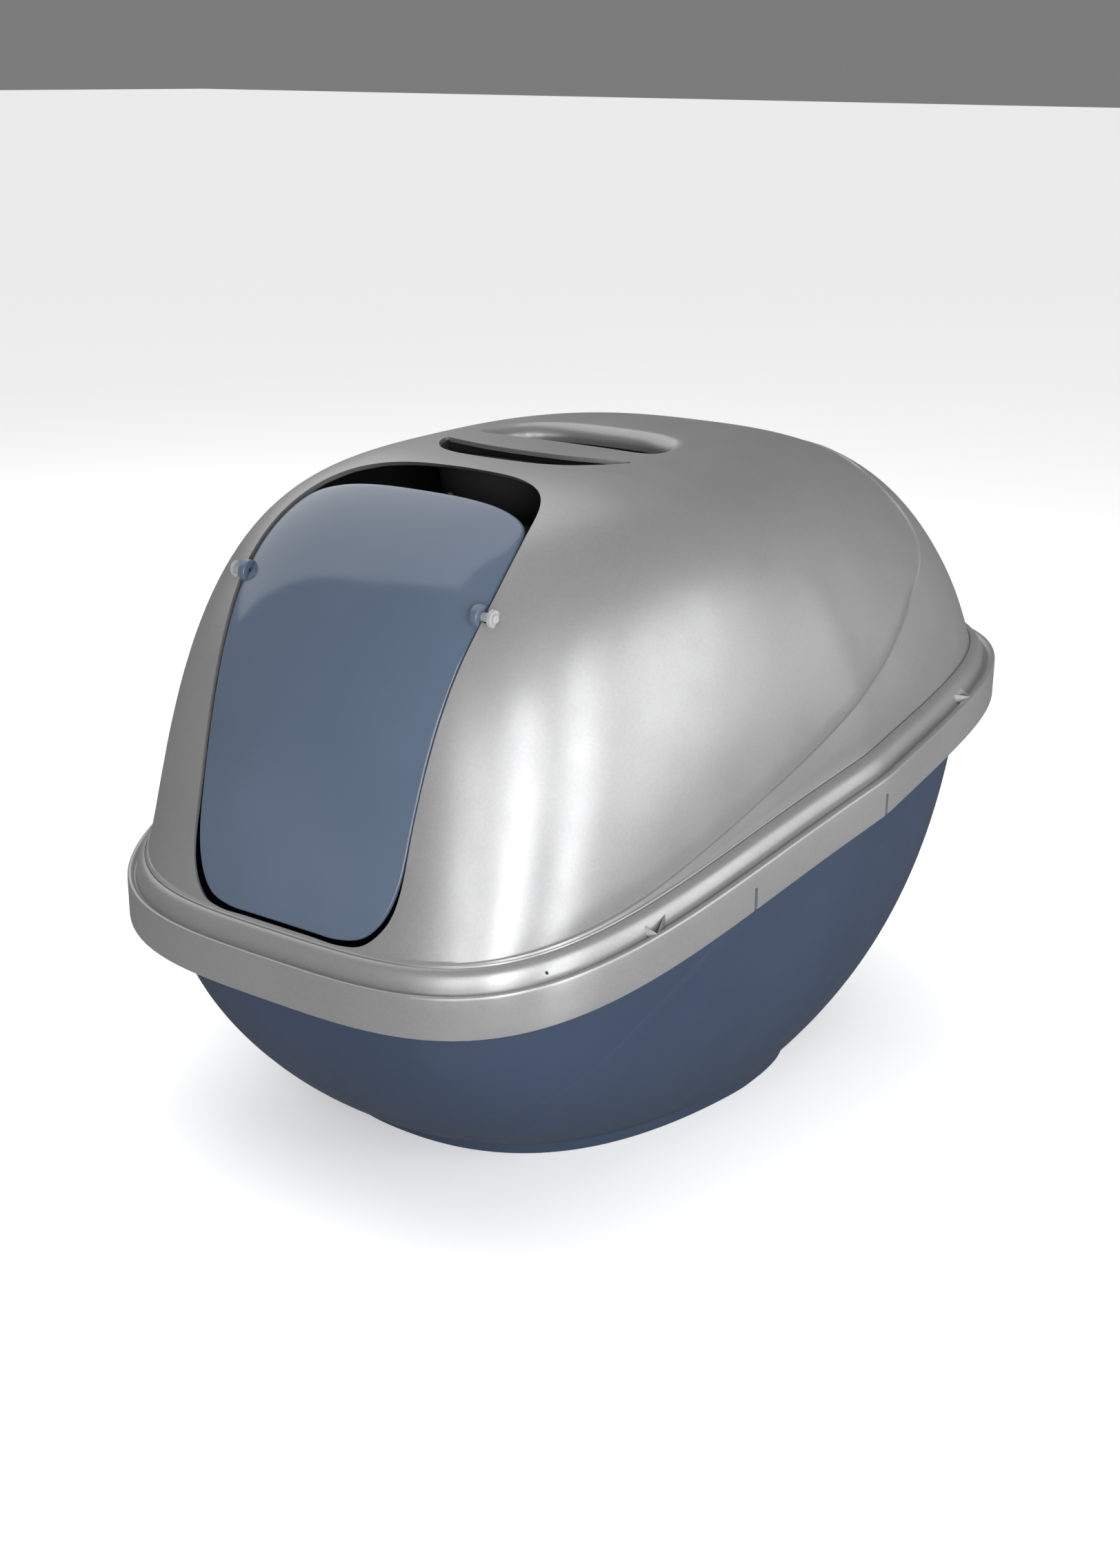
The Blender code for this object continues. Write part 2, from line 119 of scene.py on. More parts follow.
def ring(plan, height):
    """A closed loop of points around the plan; height gives z from a point's y."""
    points = (on_plan(plan, angle) for angle in ANGLES)
    return [Vector((x, y, height(y))) for x, y in points]


def above_seam(lift):
    """A height that follows the sloping seam at a lift above it."""
    return lambda y: SEAM_HEIGHT + SEAM_SLOPE * y + lift


def level(z):
    """A height that is the same everywhere."""
    return lambda y: z


def turn_outwards(bm):
    bmesh.ops.recalc_face_normals(bm, faces=bm.faces)
    if bm.calc_volume(signed=True) < 0:
        bmesh.ops.reverse_faces(bm, faces=bm.faces)


def grow(rings, close_ends=True):
    """A mesh grown ring by ring: a circle is extruded again and again onto the next ring."""
    bm = bmesh.new()
    made = bmesh.ops.create_circle(bm, cap_ends=False, segments=len(rings[0]), radius=1)
    place = {vert: index for index, vert in enumerate(made["verts"])}
    for vert, index in place.items():
        vert.co = rings[0][index]
    edges = bm.edges[:]
    first = list(edges)
    for points in rings[1:]:
        grown = bmesh.ops.extrude_edge_only(bm, edges=edges)["geom"]
        edges = [item for item in grown if isinstance(item, bmesh.types.BMEdge)]
        raised = [item for item in grown if isinstance(item, bmesh.types.BMVert)]
        above = {}
        for vert in raised:
            below = next(e.other_vert(vert) for e in vert.link_edges if e.other_vert(vert) in place)
            above[vert] = place[below]
        for vert, index in above.items():
            vert.co = points[index]
        place = above
    if close_ends:
        for loop in (first, edges):
            bmesh.ops.contextual_create(bm, geom=loop)
    bmesh.ops.remove_doubles(bm, verts=bm.verts, dist=MERGE)
    turn_outwards(bm)
    return bm


def piece(name, bm, finish=None, sharp=SHARP):
    """A new object at the origin, smooth but for edges sharper than the given angle in degrees."""
    mesh = bpy.data.meshes.new(name)
    bm.to_mesh(mesh)
    bm.free()
    made = bpy.data.objects.new(name, mesh)
    bpy.context.collection.objects.link(made)
    if finish:
        mesh.materials.append(finish)
    mesh.shade_smooth()
    mesh.set_sharp_from_angle(angle=radians(sharp))
    return made


def linear(colour):
    """An sRGB hex colour as linear red, green, blue and alpha."""
    channels = [int(colour[start:start + 2], 16) / 255 for start in (0, 2, 4)]
    return tuple(c / 12.92 if c <= 0.04045 else ((c + 0.055) / 1.055) ** 2.4 for c in channels) + (1,)


def add_node(tree, kind, inputs=None, **settings):
    """A node with its settings. Each input, by name or number, is a value or a socket to link."""
    node = tree.nodes.new("ShaderNode" + kind)
    for key, value in settings.items():
        setattr(node, key, value)
    for key, value in (inputs or {}).items():
        if isinstance(value, bpy.types.NodeSocket):
            tree.links.new(value, node.inputs[key])
        else:
            node.inputs[key].default_value = value
    return node


def new_material(name):
    """An empty material, its node tree, and its pattern's coordinates in millimetres."""
    made = bpy.data.materials.new(name)
    made.use_nodes = True
    tree = made.node_tree
    tree.nodes.clear()
    place = add_node(tree, "TexCoord").outputs["Object"]
    in_mm = add_node(tree, "VectorMath", {"Vector": place, "Scale": 1 / MM}, operation="SCALE")
    return made, tree, in_mm.outputs["Vector"]


MIX_FACTOR, MIX_FIRST, MIX_SECOND, MIX_RESULT = 0, 6, 7, 2   # a colour mix's sockets
CLOUD_SIZE = 90              # in millimetres, as all pattern sizes are
HANDLING_SIZE = 34
FLAKE_SIZE = 1.2             # real flake is about 0.05 mm; drawn larger, it shows as a faint sparkle
GRAIN_SIZE = 0.8             # the grain in the tool is about 0.3 mm


def moulded_polypropylene(name, colour, cloud, roughness, coat_roughness, flake=0.0):
    """Injection-moulded polypropylene: a soft gloss over a fine spark-eroded grain, slightly
    clouded where the melt cooled unevenly, with mica flake in the metallic grades."""
    made, tree, where = new_material(name)
    clouds = add_node(tree, "TexNoise", {"Vector": where, "Scale": 1 / CLOUD_SIZE, "Detail": 3.0})
    share = add_node(tree, "MapRange", {"Value": clouds.outputs["Fac"], "From Min": 0.35, "From Max": 0.65})
    base = add_node(tree, "Mix", {
        MIX_FACTOR: share.outputs["Result"], MIX_FIRST: linear(colour), MIX_SECOND: linear(cloud),
    }, data_type="RGBA").outputs[MIX_RESULT]
    if flake:
        specks = add_node(tree, "TexVoronoi", {"Vector": where, "Scale": 1 / FLAKE_SIZE})
        spark = add_node(tree, "SeparateColor", {"Color": specks.outputs["Color"]})
        glint = add_node(tree, "MapRange", {"Value": spark.outputs["Red"], "To Max": flake})
        base = add_node(tree, "Mix", {
            MIX_FACTOR: glint.outputs["Result"], MIX_FIRST: base, MIX_SECOND: linear("ffffff"),
        }, data_type="RGBA").outputs[MIX_RESULT]
    handling = add_node(tree, "TexNoise", {
        "Vector": where, "Scale": 1 / HANDLING_SIZE, "Detail": 5.0, "Roughness": 0.6,
    })
    rough = add_node(tree, "MapRange", {
        "Value": handling.outputs["Fac"], "From Min": 0.3, "From Max": 0.7,
        "To Min": roughness - 0.04, "To Max": roughness + 0.05,
    })
    grain = add_node(tree, "TexNoise", {"Vector": where, "Scale": 1 / GRAIN_SIZE, "Detail": 3.0})
    bump = add_node(tree, "Bump", {
        "Strength": 0.05, "Distance": 0.10 * MM, "Height": grain.outputs["Fac"],
    })
    shader = add_node(tree, "BsdfPrincipled", {
        "Base Color": base, "Roughness": rough.outputs["Result"], "IOR": 1.49,
        "Metallic": 0.6 if flake else 0.0, "Specular IOR Level": 0.5 if flake else 0.35,
        "Coat Weight": 0.25 if flake else 0.03, "Coat Roughness": coat_roughness,
        "Normal": bump.outputs["Normal"],
    })
    add_node(tree, "OutputMaterial", {"Surface": shader.outputs["BSDF"]})
    return made


SLATE = moulded_polypropylene("slate_polypropylene", "323e53", "2e3b4f", 0.50, 0.35)

FOOT_HEIGHT = 8 * MM
FOOT_DRAFT = 2 * MM
FOOT_EDGE = 0.8 * MM
FOOT = Plan(134 * MM, 156.5 * MM, 117 * MM, 11.5 * MM, 2.25, 3.0, 0.041)
SKIRT = Plan(HALF_WIDTH, HALF_LENGTH, HALF_LENGTH, WIDEST, 3.3, 4.7, PINCH)
PAN_TOP = inset(SKIRT, 13 * MM)._replace(nose=2.95, tail=4.1)
RIM_TOP = 18.2 * MM          # above the seam, under the hood's ledge
LIP_LOW = 4 * MM
LIP = 2 * MM
PAN_RINGS = 72
PAN_SHARP = 28
# How the wall swells from the foot to the rim: the first power near the foot, the second overall.
PAN_SIDE, PAN_FRONT, PAN_BACK = (3.1, 1.0), (1.84, 1.33), (1.74, 1.53)

CREASE_STEP = 0.6 * MM
CREASE_RING = PAN_RINGS * 3 // 5
CREASE_SWELL = 0.65          # share of the wall below the crease that swells out towards it
CREASE_WIDTH = 0.012         # share of the wall above the crease that it takes up
CREASE_STARTS = (14, 20)     # degrees from the front where it starts, and until it is full
CREASE_ENDS = (75, 25)       # degrees from the front where it starts to fade, and until it is gone

# Where the crease crosses each direction: degrees from the front, and share of the pan's height.
PAN_CREASE = (
    (0, 0.17), (10, 0.215), (19.7, 0.294), (27, 0.361), (33, 0.449), (37.7, 0.554), (41.3, 0.644),
    (49.2, 0.771), (58.4, 0.864), (66.8, 0.907), (80, 0.945), (110, 0.975), (180, 0.985),
)


def read_off(table, value):
    """The value a table of pairs gives, on a smooth curve through its entries."""
    padded = (table[0],) + table + (table[-1],)
    for (a, before), (b, low), (c, high), (d, after) in zip(padded, padded[1:], padded[2:], padded[3:]):
        if value <= c:
            t = max(0, value - b) / (c - b)
            leave, arrive = (high - before) / (c - a) * (c - b), (after - low) / (d - b) * (c - b)
            return (
                low * (1 + 2 * t) * (1 - t) ** 2 + high * t * t * (3 - 2 * t)
                + leave * t * (1 - t) ** 2 - arrive * t * t * (1 - t)
            )
    return table[-1][1]


def pan_point(angle, share, depth, inside):
    """The point of the pan's wall at an angle and a share of its height."""
    foot, top = inset(FOOT, depth), inset(PAN_TOP, depth)
    side, front, back = ((1 - (1 - share) ** a) ** (1 / b) for a, b in (PAN_SIDE, PAN_FRONT, PAN_BACK))
    plan = blend(foot, top, share)._replace(
        width=foot.width + (top.width - foot.width) * side,
        front=foot.front + (top.front - foot.front) * front,
        back=foot.back + (top.back - foot.back) * back,
    )
    x, y = on_plan(plan, angle)
    inner = WALL if inside else 0
    low = FOOT_HEIGHT + inner
    brim = SEAM_HEIGHT + RIM_TOP - WALL + inner + SEAM_SLOPE * y
    return Vector((x, y, low + (brim - low) * share))


def pan_wall(depth, crease_step, inside):
    """Rings up the pan's wall, gathered so that one pair follows the crease."""
    rings = []
    for index in range(PAN_RINGS + 1):
        points = []
        for angle in ANGLES:
            turn = min(degrees(angle), 360 - degrees(angle))
            crease = read_off(PAN_CREASE, turn)
            proud = 0.0
            if index <= CREASE_RING:
                part = index / CREASE_RING
                share = crease * part
                if index < CREASE_RING:
                    proud = crease_step * ease((part - 1 + CREASE_SWELL) / CREASE_SWELL)
            else:
                over = (index - CREASE_RING) / (PAN_RINGS - CREASE_RING)
                share = crease + (1 - crease) * (CREASE_WIDTH if index == CREASE_RING + 1 else over)
            fade = ease((turn - CREASE_STARTS[0]) / CREASE_STARTS[1])
            fade *= 1 - ease((turn - CREASE_ENDS[0]) / CREASE_ENDS[1])
            points.append(pan_point(angle, share, depth - proud * fade, inside))
        rings.append(points)
    return rings


lip_outer = inset(SKIRT, WALL + RIM_GAP)
lip_inner = inset(lip_outer, LIP)
pan_rings = [
    ring(inset(FOOT, FOOT_DRAFT + FOOT_EDGE), level(0)),
    ring(inset(FOOT, FOOT_DRAFT), level(FOOT_EDGE)),
]
pan_rings += pan_wall(0, CREASE_STEP, inside=False)
pan_rings += [
    ring(lip_inner, above_seam(RIM_TOP - WALL)),
    ring(lip_inner, above_seam(LIP_LOW)),
    ring(lip_outer, above_seam(LIP_LOW)),
    ring(lip_outer, above_seam(RIM_TOP - LIP)),
    ring(inset(lip_outer, LIP * 0.3), above_seam(RIM_TOP - LIP * 0.3)),
    ring(inset(lip_outer, LIP), above_seam(RIM_TOP)),
]
pan_rings += pan_wall(WALL, 0, inside=True)[::-1]
pan_rings.append(ring(inset(FOOT, FOOT_DRAFT + WALL), level(WALL)))
pan = piece("pan_moulding", grow(pan_rings), SLATE, PAN_SHARP)
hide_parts("tray")
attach(pan, "tray")

# Hood -------------------------------------------------------------------------------------------
# One large moulding in silver-grey polypropylene with mica flake: dome, shoulder, gutter and skirt.
# The doorway, the handle openings, the snap-tab slits and the pin holes are cut through its wall.
SILVER = moulded_polypropylene("silver_polypropylene", "a3a3a4", "9d9d9e", 0.37, 0.30, flake=0.03)

DOME_LIFT = 34 * MM          # where the dome starts, above the seam
LEDGE_LIFT = 18.5 * MM       # underside of the ledge that rests on the pan's rim
DOME_BASE = SEAM_HEIGHT + DOME_LIFT
DOME_FOOT = Plan(
    HALF_WIDTH - 16.2 * MM, HALF_LENGTH - 10 * MM, HALF_LENGTH - 8.9 * MM, WIDEST, 3.5, 4.6, PINCH
)
# In each profile the first power says how high the wall stays upright, the second how flat the
# top is.
SIDE_PROFILE = (1.91, 4.24)
FRONT_PROFILE = (0.73, 4.34)
BACK_PROFILE = (5.91, 3.94)
CROWN_WAIST = 0.6 * MM
CROWN_ROUNDNESS = 2.68
DOME_RINGS = 96
SUMMIT = 0.99999             # share of the height where the dome closes
SWOOSH_STEP = 0.8 * MM
SWOOSH_GROOVE = 0.45 * MM
SWOOSH_WIDTH = 0.005         # the groove's share of the dome's height
SWOOSH_EDGE = 0.004
SWOOSH_STARTS = (8, 30)      # degrees from the front where the step starts, and until it is full

# The swoosh is the step that climbs from the front of the rim to the top of the back: degrees from
# the front, and share of the dome's height. The surface below it stands proud.
SWOOSH = (
    (0, 0.004), (13, 0.005), (27, 0.011), (38.8, 0.024), (47.4, 0.048), (58.6, 0.083), (73.7, 0.136),
    (87.3, 0.201), (99.4, 0.269), (109.7, 0.357), (115.2, 0.420), (125.7, 0.520), (130, 0.580),
    (133.1, 0.656), (136.5, 0.752), (142, 0.830), (152, 0.870), (180, 0.885),
)


def dome_plan(share, depth):
    """The dome's plan at a share of its height, depth below its outer surface."""
    foot = inset(DOME_FOOT, depth)
    side, front, back = (
        (1 - share**a) ** (1 / b) for a, b in (SIDE_PROFILE, FRONT_PROFILE, BACK_PROFILE)
    )
    waist = WIDEST + (CROWN_WAIST - WIDEST) * share
    return Plan(
        width=foot.width * side,
        front=(foot.front + WIDEST) * front - waist,
        back=(foot.back - WIDEST) * back + waist,
        waist=waist,
        nose=foot.nose + (CROWN_ROUNDNESS - foot.nose) * share,
        tail=foot.tail + (CROWN_ROUNDNESS - foot.tail) * share,
        pinch=foot.pinch * (1 - share),
    )


def dome_point(angle, share, depth):
    """The point of the dome's wall at an angle and a share of its height."""
    x, y = on_plan(dome_plan(share, depth), angle)
    rise = (HOOD_TOP - depth - DOME_BASE) * share
    return Vector((x, y, DOME_BASE + rise + SEAM_SLOPE * y * (1 - share)))


def outside_dome(point, depth):
    """Above 1 where a point is outside the dome's surface at a depth, below 1 inside."""
    low = DOME_BASE + SEAM_SLOPE * point.y
    share = (point.z - low) / (HOOD_TOP - depth - low)
    if share >= 1:
        return 2.0
    plan = dome_plan(max(0.0, share), depth)
    forward = point.y < plan.waist
    extent = plan.front + plan.waist if forward else plan.back - plan.waist
    power = plan.nose if forward else plan.tail
    far = abs(point.y - plan.waist) / extent
    narrowing = 1 - plan.pinch * drawn_in(min(1, far)) if forward else 1
    return (abs(point.x) / narrowing / plan.width) ** power + far**power


SEARCH_REACH = 0.16
HALVINGS = 26


def onto_dome(point, direction, depth, reach=SEARCH_REACH):
    """The point slid along a direction until it meets the dome's surface at a depth."""
    near, far = -reach, reach
    for _ in range(HALVINGS):
        middle = (near + far) / 2
        if outside_dome(point + direction * middle, depth) > 1:
            far = middle
        else:
            near = middle
    return point + direction * near


def dome_wall(depth, step, rings_up):
    """Rings up the dome's wall, gathered so that one pair follows the swoosh."""
    rings = []
    swoosh_ring = rings_up // 2
    for index in range(rings_up + 1):
        points = []
        for angle in ANGLES:
            turn = min(degrees(angle), 360 - degrees(angle))
            swoosh = read_off(SWOOSH, turn)
            gap = min(SWOOSH_WIDTH, swoosh * 0.3)
            proud = 0.0
            if index < swoosh_ring:
                part = index / (swoosh_ring - 1)
                share = (swoosh - gap) * part
                proud = step * ease(part * 2) * ease((turn - SWOOSH_STARTS[0]) / SWOOSH_STARTS[1])
            elif index == swoosh_ring:
                share = swoosh - gap * 0.3
                if step:
                    proud = -SWOOSH_GROOVE * gap / SWOOSH_WIDTH
            else:
                over = 1 - (index - swoosh_ring - 1) / (rings_up - swoosh_ring - 1)
                share = swoosh + (1 - swoosh) * (SWOOSH_EDGE + (1 - SWOOSH_EDGE) * (1 - over**3))
            points.append(dome_point(angle, min(share, SUMMIT), depth - proud))
        rings.append(points)
    return rings


# The rim's section, from the skirt's lower edge to the dome's foot: share of the way in, and lift
# above the seam in millimetres.
RIM_SECTION = (
    (0.020, 0.0), (0.004, 0.15), (0.0, 0.7), (0.0, 8.0), (0.0, 15.0), (0.0, 21.6), (0.008, 22.5),
    (0.035, 23.2), (0.085, 23.5), (0.16, 23.45), (0.24, 23.0), (0.31, 21.9), (0.355, 21.3), (0.395, 21.2),
    (0.43, 21.8), (0.452, 23.6), (0.475, 25.4), (0.51, 27.3), (0.56, 29.1), (0.625, 30.7), (0.70, 31.8),
    (0.79, 32.7), (0.88, 33.3), (0.925, 33.5), (0.945, 33.2), (0.957, 32.7), (0.970, 32.7), (0.985, 33.3),
)

hood_rings = dome_wall(WALL, 0, DOME_RINGS // 3)[::-1]
hood_rings += [
    ring(inset(DOME_FOOT, WALL), above_seam(LEDGE_LIFT)),
    ring(inset(SKIRT, WALL), above_seam(LEDGE_LIFT)),
    ring(inset(SKIRT, WALL), above_seam(0)),
]
hood_rings += [
    ring(blend(SKIRT, DOME_FOOT, share), above_seam(lift * MM)) for share, lift in RIM_SECTION
]
hood_rings += dome_wall(0, SWOOSH_STEP, DOME_RINGS)
hood = piece("hood_moulding", grow(hood_rings), SILVER)

# The doorway lies in a plane that slopes back from its sill. Its outline is given for the right
# half: shares of the half width and of the length up the slope.
DOOR_HALF_WIDTH = 82 * MM
DOOR_LENGTH = 268 * MM
DOOR_SILL = 3 * MM           # above the dome's foot
DOOR_SHAPE = (
    (0.0, 0.0), (0.28, 0.0), (0.50, 0.0), (0.68, 0.014), (0.81, 0.060), (0.87, 0.125), (0.89, 0.25),
    (0.915, 0.37), (0.95, 0.50), (0.99, 0.62), (1.0, 0.71), (0.965, 0.81), (0.87, 0.905), (0.70, 0.962),
    (0.42, 0.992), (0.0, 1.0),
)
SILL = Vector((0, -DOME_FOOT.front, DOME_BASE - SEAM_SLOPE * DOME_FOOT.front + DOOR_SILL))
DOOR_UP = Vector((0, 0.592, 0.806)).normalized()
DOOR_OUT = Vector((0, -DOOR_UP.z, DOOR_UP.y))
DOOR_REACH = 0.12            # how far the doorway's tool goes on each side of that plane
CUT_SHARP = 40


def smooth_curve(points, steps):
    """Points along a smooth open curve through the given ones."""
    result = []
    ends = [points[0]] + list(points) + [points[-1]]
    for before, start, end, after in zip(ends, ends[1:], ends[2:], ends[3:]):
        for t in (step / steps for step in range(steps)):
            result.append(tuple(
                b + 0.5 * t * ((c - a) + t * ((2 * a - 5 * b + 4 * c - d) + t * (3 * b - a - 3 * c + d)))
                for a, b, c, d in zip(before, start, end, after)
            ))
    return result + [points[-1]]


def both_sides(half):
    """A closed outline from its right half, which starts and ends on the middle line."""
    return list(half) + [(-x, up) for x, up in reversed(half[1:-1])]


door_half = [(a * DOOR_HALF_WIDTH, b * DOOR_LENGTH) for a, b in smooth_curve(DOOR_SHAPE, 5)]
door_outline = both_sides(door_half)


def cut(target, tool):
    """The tool is cut out of the target and then removed."""
    modifier = target.modifiers.new(tool.name, "BOOLEAN")
    modifier.operation = "DIFFERENCE"
    modifier.solver = "EXACT"
    modifier.object = tool
    bpy.context.view_layer.update()
    solid = target.evaluated_get(bpy.context.evaluated_depsgraph_get())
    result = bpy.data.meshes.new_from_object(solid)
    target.modifiers.clear()
    result.set_sharp_from_angle(angle=radians(CUT_SHARP))
    target.data = result
    bpy.data.objects.remove(tool)


def column(name, outline, direction, length):
    """A straight-sided solid from a closed outline of points."""
    return piece(name, grow([outline, [point + direction * length for point in outline]]))


door_points = [SILL + Vector((x, 0, 0)) + DOOR_UP * up - DOOR_OUT * DOOR_REACH for x, up in door_outline]
cut(hood, column("doorway_tool", door_points, DOOR_OUT, 2 * DOOR_REACH))

# The handle: fingers reach in through a crescent in front of the bar and a rolled opening behind it.
BOWL = Plan(66 * MM, 70 * MM, 58 * MM, 0, 2.4, 2.4, 0)
BAR_BACK = -6 * MM
UP = Vector((0, 0, 1))

# Right half of each opening in millimetres, from its front to its back.
CRESCENT = (
    (0, -68), (16, -67.5), (31, -65), (44, -58.5), (55, -47), (62, -36), (65, -29), (63, -27.5),
    (58, -29.5), (46, -34), (28, -38.5), (12, -40), (0, -40.3),
)
RECESS = (
    (0, -6), (25, -6), (45, -6), (55, -4.5), (62, 0), (65, 8), (64.5, 20), (61, 34), (53, 45), (42, 52),
    (28, 56.5), (12, 58), (0, 58),
)


def grown_by(points, distance):
    """A closed anticlockwise outline moved outwards by a distance that each point gives."""
    result = []
    for before, here, after in zip(points[-1:] + points[:-1], points, points[1:] + points[:1]):
        along = (after - before).normalized()
        result.append(here + Vector((along.y, -along.x)) * distance(here))
    return result


def on_top(point, depth):
    """A plan point raised to the top of the dome, at a depth below its surface."""
    return onto_dome(Vector((point.x, point.y, HOOD_TOP - 20 * MM)), UP, depth, reach=30 * MM)


LIP_STEPS = 10
LIP_LAP = 0.3 * MM           # how far the lip's underside laps under the dome's wall
SOFT_SHARP = 50


def rolled_lip(name, outline, roll, drop):
    """A lip that rolls over from the dome's surface into an opening and runs down inside it."""
    rings = []
    for step in range(LIP_STEPS + 1):
        turn = pi / 2 * step / LIP_STEPS
        loop = grown_by(outline, lambda p: -roll(p) * sin(turn))
        rings.append([on_top(q, roll(p) * (1 - cos(turn))) for p, q in zip(outline, loop)])
    inner = grown_by(outline, lambda p: -roll(p))
    rings.append([on_top(p, drop) for p in inner])
    outer = grown_by(outline, lambda p: WALL - roll(p))
    rings.append([on_top(p, drop) for p in outer])
    rings.append([on_top(p, WALL) for p in grown_by(outline, lambda p: LIP_LAP)])
    bm = grow(rings, close_ends=False)
    bmesh.ops.bridge_loops(bm, edges=[edge for edge in bm.edges if edge.is_boundary])
    turn_outwards(bm)
    return piece(name, bm, SILVER, SOFT_SHARP)


OPENING_REACH = 30 * MM


def opening(name, half):
    """Cuts an opening straight down through the dome and returns its outline."""
    outline = [Vector(p) * MM for p in both_sides(smooth_curve(half, 4))]
    start = HOOD_TOP - OPENING_REACH
    cut(hood, column(name, [Vector((p.x, p.y, start)) for p in outline], UP, 2 * OPENING_REACH))
    return outline


opening("crescent_tool", CRESCENT)
recess = opening("recess_tool", RECESS)
ROLL_AT_BAR = 3 * MM
ROLL_BEHIND = 8.5 * MM
ROLL_CHANGE = 16 * MM        # the roll goes from one to the other over this much
RECESS_DROP = 11 * MM


def recess_roll(point):
    """The recess's lip rolls tightly along the bar and more gently behind it."""
    behind = ease((point.y - BAR_BACK) / ROLL_CHANGE)
    return ROLL_AT_BAR + (ROLL_BEHIND - ROLL_AT_BAR) * behind


hood_parts = [rolled_lip("handle_recess_lip", recess, recess_roll, RECESS_DROP)]

# The bowl itself hangs under the dome. Its section runs from the rim to the floor: millimetres in from
# the rim, and share of the height. Its matt dark grey, a darker copy of the silver that is also used
# under the bar, is painted shade for the inside of the bowl and the underside of the bar.
SHADE_PAINTED_GREY = moulded_polypropylene("shade_painted_polypropylene", "39393a", "333334", 0.62, 0.40)
BOWL_FLOOR = HOOD_TOP - 34 * MM
BOWL_RIM_DEPTH = 1.5 * MM    # the bowl starts inside the thickness of the dome's wall
BOWL_SEGMENTS = 96
BOWL_SECTION = (
    (0.0, 1.00), (0.8, 0.72), (2.2, 0.46), (4.4, 0.24), (7.4, 0.08), (10.0, 0.015), (13.5, 0.0),
)


def bowl_ring(across, share, wall):
    """A loop around the bowl, on its inside or, with a wall, on its outside."""
    floor = BOWL_FLOOR - wall
    loop = []
    for index in range(BOWL_SEGMENTS):
        x, y = on_plan(inset(BOWL, across * MM - wall), 2 * pi * index / BOWL_SEGMENTS)
        rim = on_top(Vector((x, y)), BOWL_RIM_DEPTH).z
        loop.append(Vector((x, y, floor + (rim - floor) * share)))
    return loop


bowl_rings = [bowl_ring(across, share, WALL) for across, share in BOWL_SECTION[::-1]]
bowl_rings += [bowl_ring(across, share, 0) for across, share in BOWL_SECTION]
bowl = piece("finger_bowl", grow(bowl_rings), SHADE_PAINTED_GREY, SOFT_SHARP)
VENT_COUNT = 5
VENT_PITCH = 15 * MM
VENT_RADIUS = 2.5 * MM
VENT_HALF_LENGTH = 22.5 * MM
VENT_SEGMENTS = 24
for index in range(VENT_COUNT):
    x = (index - (VENT_COUNT - 1) / 2) * VENT_PITCH
    slot = []
    for step in range(VENT_SEGMENTS):
        turn = 2 * pi * (step + 0.5) / VENT_SEGMENTS
        end = VENT_HALF_LENGTH if sin(turn) > 0 else -VENT_HALF_LENGTH
        across, along = x + VENT_RADIUS * cos(turn), end + VENT_RADIUS * sin(turn)
        slot.append(Vector((across, along, BOWL_FLOOR - 2 * WALL)))
    cut(bowl, column("vent_tool", slot, UP, 8 * MM))
hood_parts.append(bowl)

# The bar's underside: a rounded beam under the dome's skin, in the same dark grey of painted shade.
BAR_FRONT = -27 * MM
BAR_STEPS = 32
# Share of the way from its front to its back, and depth below the dome in millimetres.
BAR_SECTION = (
    (0.0, 0.8), (0.0, 5.5), (0.012, 7.6), (0.045, 9.0), (0.10, 9.5), (0.5, 9.5), (0.90, 9.5), (0.955, 9.0),
    (0.988, 7.6), (1.0, 5.5), (1.0, 0.8),
)
bar_rings = []
for step in range(BAR_STEPS + 1):
    x = (step / BAR_STEPS * 2 - 1) * (BOWL.width + 1.5 * MM)
    bar_rings.append([
        on_top(Vector((x, BAR_FRONT + (BAR_BACK + 2 * MM - BAR_FRONT) * share)), depth * MM)
        for share, depth in BAR_SECTION
    ])
hood_parts.append(piece("handle_bar_underside", grow(bar_rings), SHADE_PAINTED_GREY, SOFT_SHARP))

# Slits free a snap tab in each side of the skirt, small webs stiffen the gutter, and there is a
# tiny hole low on each front shoulder.
SLIT_WIDTH = 2.4 * MM
SLIT_HEIGHT = 13 * MM
SLITS = (-78 * MM, 44 * MM)
SLIT_NEAR = 22 * MM          # how far in and out the slit's tool goes, from the skirt's face
SLIT_FAR = 4 * MM
SLIT_BELOW = 10 * MM
PIVOT = next(Vector(joint["pos_m"]) for joint in frame["joints"] if joint["name"] == "flap_swing")
PIN_HOLE = 3.2 * MM
DISC_SEGMENTS = 48


def block(name, low, high):
    """A box between two corners."""
    bm = bmesh.new()
    bmesh.ops.create_cube(bm, size=1)
    bmesh.ops.scale(bm, vec=Vector(high) - Vector(low), verts=bm.verts)
    bmesh.ops.translate(bm, vec=(Vector(low) + Vector(high)) / 2, verts=bm.verts)
    return piece(name, bm)


def disc(bm, radius, start, end, centre, taper=1.0):
    """A cylinder along X between two x values, added to a bmesh."""
    along = Matrix.Rotation(pi / 2 if end > start else -pi / 2, 4, "Y")
    bmesh.ops.create_cone(
        bm, cap_ends=True, segments=DISC_SEGMENTS, radius1=radius, radius2=radius * taper,
        depth=abs(end - start), matrix=Matrix.Translation(((start + end) / 2, centre.y, centre.z)) @ along,
    )


hole_tool = bmesh.new()
disc(hole_tool, PIN_HOLE, -HALF_WIDTH, HALF_WIDTH, PIVOT)
cut(hood, piece("pin_hole_tool", hole_tool))
for side in (-1, 1):
    for y in SLITS:
        base = SEAM_HEIGHT + SEAM_SLOPE * y
        near, far = sorted((side * (HALF_WIDTH - SLIT_NEAR), side * (HALF_WIDTH + SLIT_FAR)))
        low = (near, y - SLIT_WIDTH / 2, base - SLIT_BELOW)
        high = (far, y + SLIT_WIDTH / 2, base + SLIT_HEIGHT)
        cut(hood, block("slit_tool", low, high))


